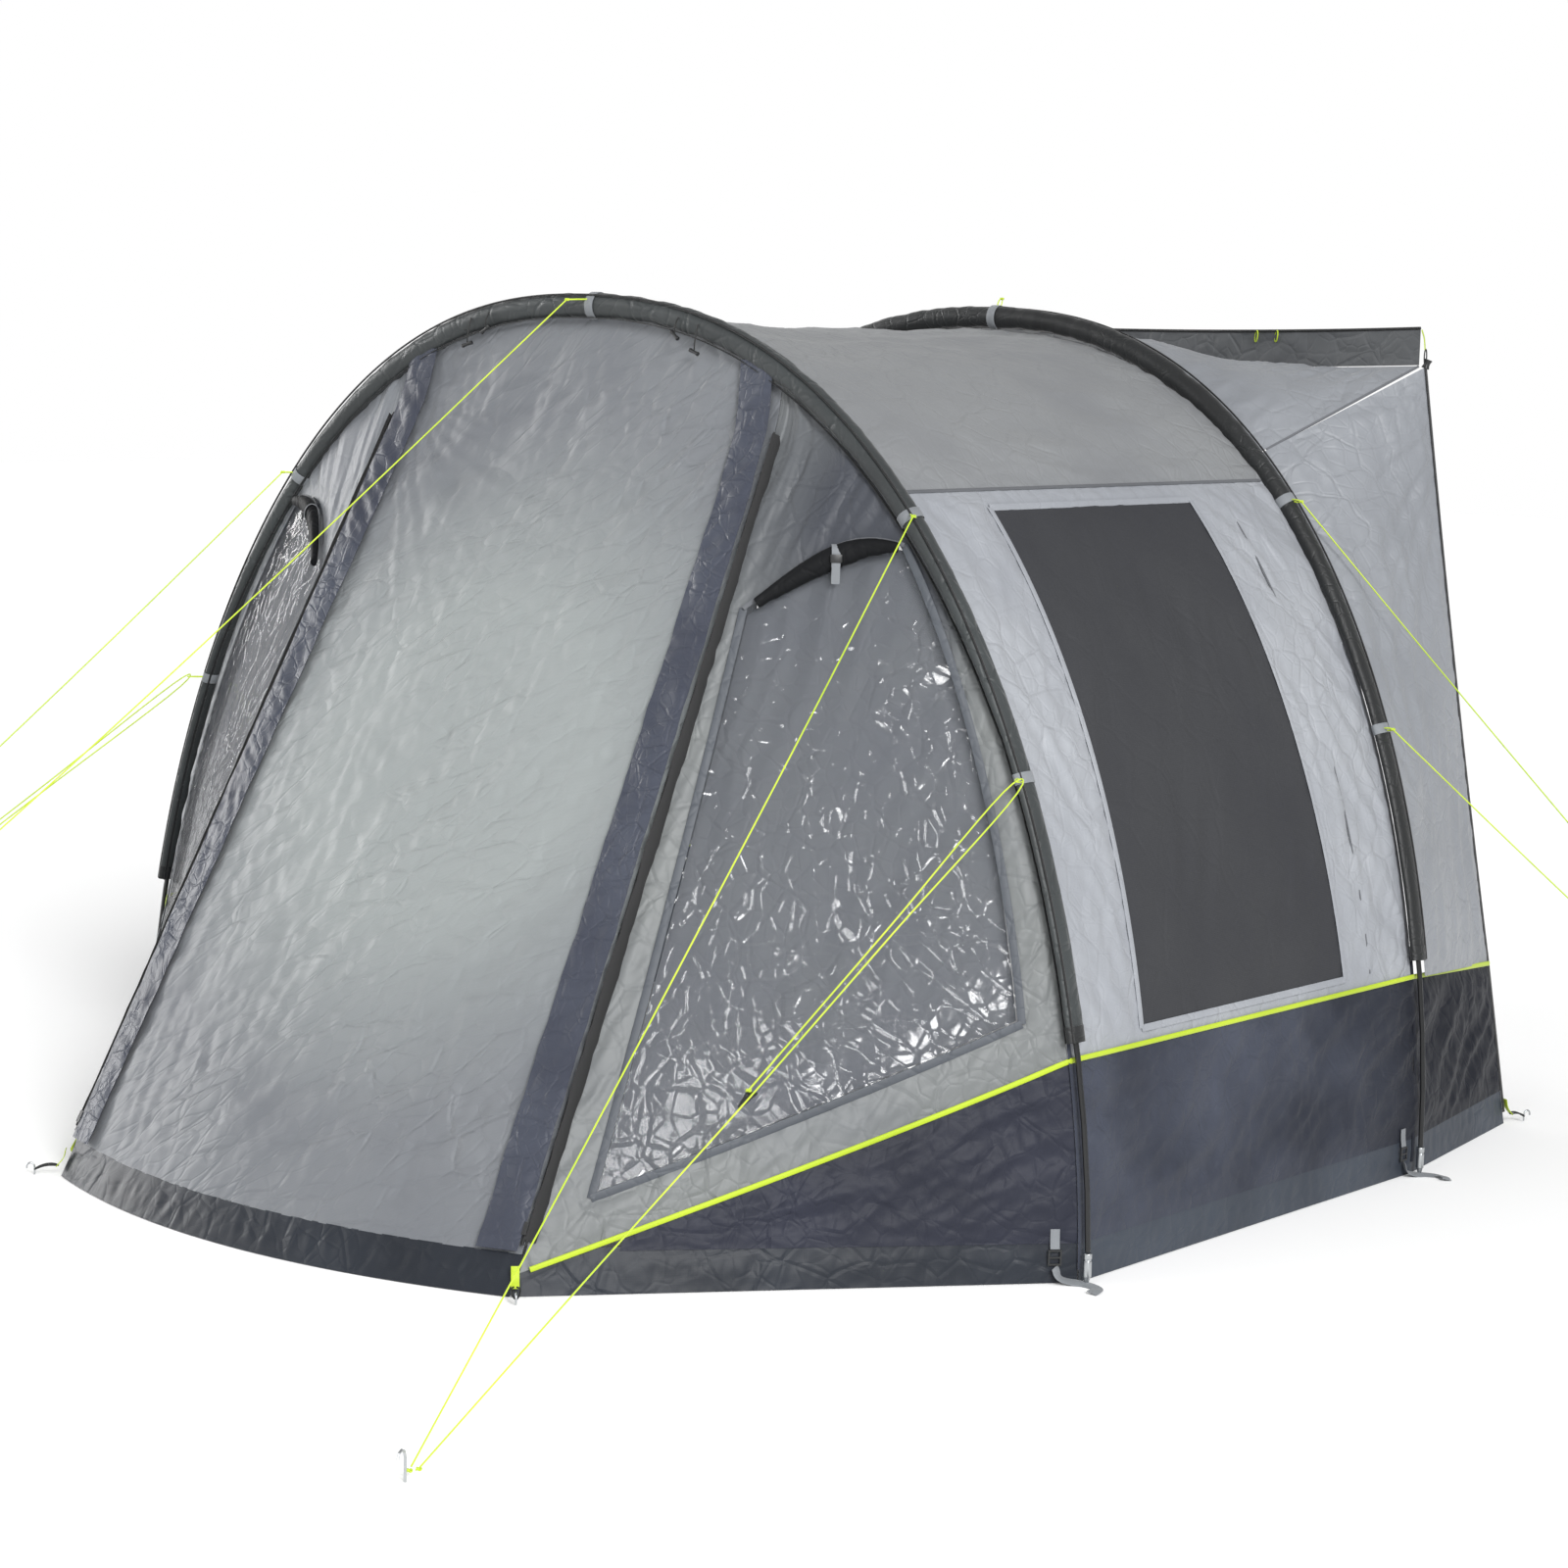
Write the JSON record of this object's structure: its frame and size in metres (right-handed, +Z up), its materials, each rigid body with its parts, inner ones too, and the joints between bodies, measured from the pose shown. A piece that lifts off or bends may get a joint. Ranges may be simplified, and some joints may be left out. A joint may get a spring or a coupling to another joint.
{
  "type": "tent on poles",
  "caption": "Drive-away awning tent on two curved poles in black sleeves, with a sloping zipped door, clear and mesh side windows, lime piping, guy lines and a tunnel to join a vehicle.",
  "frame": {"origin": "on the ground, at the centre of the tent's length and width, guy lines left out", "axes": "+X across the tent to the right seen from the door, +Y from the door to the vehicle, +Z up"},
  "size_m": [3.8469, 4.3601, 2.0695],
  "materials": {
    "light_fabric": "cool light grey coated polyester, plain weave with wrinkles",
    "dark_fabric": "slate coated polyester, plain weave, soft sheen",
    "mud_flap": "grey laminated polythene, creased, slightly shiny",
    "mesh": "charcoal insect mesh, matt",
    "clear_window": "clear PVC in front of a grey curtain, glossy and creased",
    "sleeve": "black polyester pole sleeve",
    "pole": "black fibreglass rod",
    "steel": "zinc-plated steel",
    "zip": "black nylon coil and acetal",
    "plastic": "black moulded acetal",
    "lime": "lime polyester webbing",
    "guy_line": "lime braided polyester cord"
  },
  "bodies": {
    "tent": {"door_header": "light_fabric", "roof": "light_fabric", "tunnel_roof": "light_fabric", "porch_side_left": "light_fabric", "porch_side_right": "light_fabric", "side_wall_left": "light_fabric", "side_wall_right": "light_fabric", "tunnel_side_left": "light_fabric", "tunnel_side_right": "light_fabric", "vehicle_strip": "dark_fabric", "porch_lower_wall_left": "dark_fabric", "porch_lower_wall_right": "dark_fabric", "side_lower_wall_left": "dark_fabric", "side_lower_wall_right": "dark_fabric", "window_cover_roll_left": "dark_fabric", "window_cover_roll_right": "dark_fabric", "porch_mud_flap_left": "mud_flap", "porch_mud_flap_right": "mud_flap", "side_mud_flap_left": "mud_flap", "side_mud_flap_right": "mud_flap", "mesh_window_left": "mesh", "mesh_window_right": "mesh", "clear_window_left": "clear_window", "clear_window_right": "clear_window", "front_sleeve": "sleeve", "rear_sleeve": "sleeve", "front_pole": "pole", "rear_pole": "pole", "front_foot_left": "steel", "front_foot_right": "steel", "rear_foot_left": "steel", "rear_foot_right": "steel", "guy_peg_apex": "steel", "guy_peg_front_left": "steel", "guy_peg_front_right": "steel", "guy_peg_rear_right": "steel", "vehicle_beading": "zip", "zip_left": "zip", "zip_right": "zip", "piping_left": "lime", "piping_right": "lime", "guy_line_apex": "guy_line", "guy_line_front_upper_left": "guy_line", "guy_line_front_upper_right": "guy_line", "guy_line_front_lower_left": "guy_line", "guy_line_front_lower_right": "guy_line", "guy_line_rear_upper_right": "guy_line", "guy_line_rear_lower_right": "guy_line"},
    "door": {"door_panel": "light_fabric", "door_flap_left": "dark_fabric", "door_flap_right": "dark_fabric", "door_skirt": "mud_flap"},
    "slider_left": {"zip_slider_left": "zip"},
    "slider_right": {"zip_slider_right": "zip"},
    "tensioner_left": {"guy_tensioner_left": "plastic"},
    "tensioner_right": {"guy_tensioner_right": "plastic"},
    "front_buckle_left": {"front_foot_buckle_left": "plastic"},
    "front_buckle_right": {"front_foot_buckle_right": "plastic"},
    "rear_buckle_left": {"rear_foot_buckle_left": "plastic"},
    "rear_buckle_right": {"rear_foot_buckle_right": "plastic"}
  },
  "joints": [
    {"name": "door_hinge", "type": "hinge", "parent": "tent", "child": "door", "pos_m": [0, -0.486, 1.8], "axis": [-1, 0, 0], "range_deg": [0, 20]},
    {"name": "zip_left_run", "type": "slide", "parent": "tent", "child": "slider_left", "axis": [0.0613, 0.4659, 0.8827], "range_m": [0, 1.82]},
    {"name": "zip_right_run", "type": "slide", "parent": "tent", "child": "slider_right", "axis": [-0.0613, 0.4659, 0.8827], "range_m": [0, 1.82]},
    {"name": "tensioner_left_run", "type": "slide", "parent": "tent", "child": "tensioner_left", "axis": [-0.0435, -0.8689, -0.493], "range_m": [-0.12, 0.12]},
    {"name": "tensioner_right_run", "type": "slide", "parent": "tent", "child": "tensioner_right", "axis": [0.0435, -0.8689, -0.493], "range_m": [-0.12, 0.12]},
    {"name": "front_buckle_left_tilt", "type": "hinge", "parent": "tent", "child": "front_buckle_left", "pos_m": [-1.46645, -0.54185, 0.075], "axis": [-0.6526, 0.7577, 0], "range_deg": [0, 60]},
    {"name": "front_buckle_right_tilt", "type": "hinge", "parent": "tent", "child": "front_buckle_right", "pos_m": [1.46645, -0.54185, 0.075], "axis": [-0.6526, -0.7577, 0], "range_deg": [0, 60]},
    {"name": "rear_buckle_left_tilt", "type": "hinge", "parent": "tent", "child": "rear_buckle_left", "pos_m": [-1.50428, 0.85609, 0.075], "axis": [0, 1, 0], "range_deg": [0, 60]},
    {"name": "rear_buckle_right_tilt", "type": "hinge", "parent": "tent", "child": "rear_buckle_right", "pos_m": [1.50428, 0.85609, 0.075], "axis": [0, -1, 0], "range_deg": [0, 60]}
  ]
}
